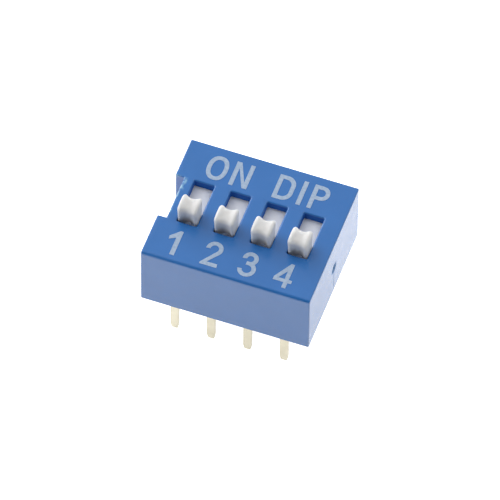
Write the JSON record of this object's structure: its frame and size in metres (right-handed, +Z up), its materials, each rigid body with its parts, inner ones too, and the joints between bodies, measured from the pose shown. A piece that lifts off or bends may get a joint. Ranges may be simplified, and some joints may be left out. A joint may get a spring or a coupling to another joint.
{
  "type": "dip switch",
  "caption": "Slide dip switch for through-hole boards: a blue housing with a row of white sliding knobs on top and two rows of flat pins below.",
  "frame": {"origin": "centre of the pin grid on the seating plane, which is the underside of the base", "axes": "+X along the row of switches from the first to the last, +Y towards the ON side, +Z up out of the board"},
  "size_m": [0.0116, 0.0098, 0.0103],
  "materials": {
    "cover_plastic": "fine moulded satin, blue",
    "base_plastic": "moulded satin, black",
    "slider_plastic": "smooth moulded, white",
    "contact_metal": "gold plated strip",
    "terminal_metal": "pale gold plated strip"
  },
  "bodies": {
    "housing": {"cover": "cover_plastic", "base": "base_plastic", "terminal_front_1": "terminal_metal", "terminal_front_2": "terminal_metal", "terminal_front_3": "terminal_metal", "terminal_front_4": "terminal_metal", "terminal_back_1": "terminal_metal", "terminal_back_2": "terminal_metal", "terminal_back_3": "terminal_metal", "terminal_back_4": "terminal_metal"},
    "switch_1": {"slider_1": "slider_plastic", "contact_spring_1": "contact_metal"},
    "switch_2": {"slider_2": "slider_plastic", "contact_spring_2": "contact_metal"},
    "switch_3": {"slider_3": "slider_plastic", "contact_spring_3": "contact_metal"},
    "switch_4": {"slider_4": "slider_plastic", "contact_spring_4": "contact_metal"}
  },
  "joints": [
    {"name": "switch_1_slide", "type": "slide", "parent": "housing", "child": "switch_1", "axis": [0, 1, 0], "range_m": [0, 0.0022]},
    {"name": "switch_2_slide", "type": "slide", "parent": "housing", "child": "switch_2", "axis": [0, 1, 0], "range_m": [0, 0.0022]},
    {"name": "switch_3_slide", "type": "slide", "parent": "housing", "child": "switch_3", "axis": [0, 1, 0], "range_m": [0, 0.0022]},
    {"name": "switch_4_slide", "type": "slide", "parent": "housing", "child": "switch_4", "axis": [0, 1, 0], "range_m": [0, 0.0022]}
  ]
}
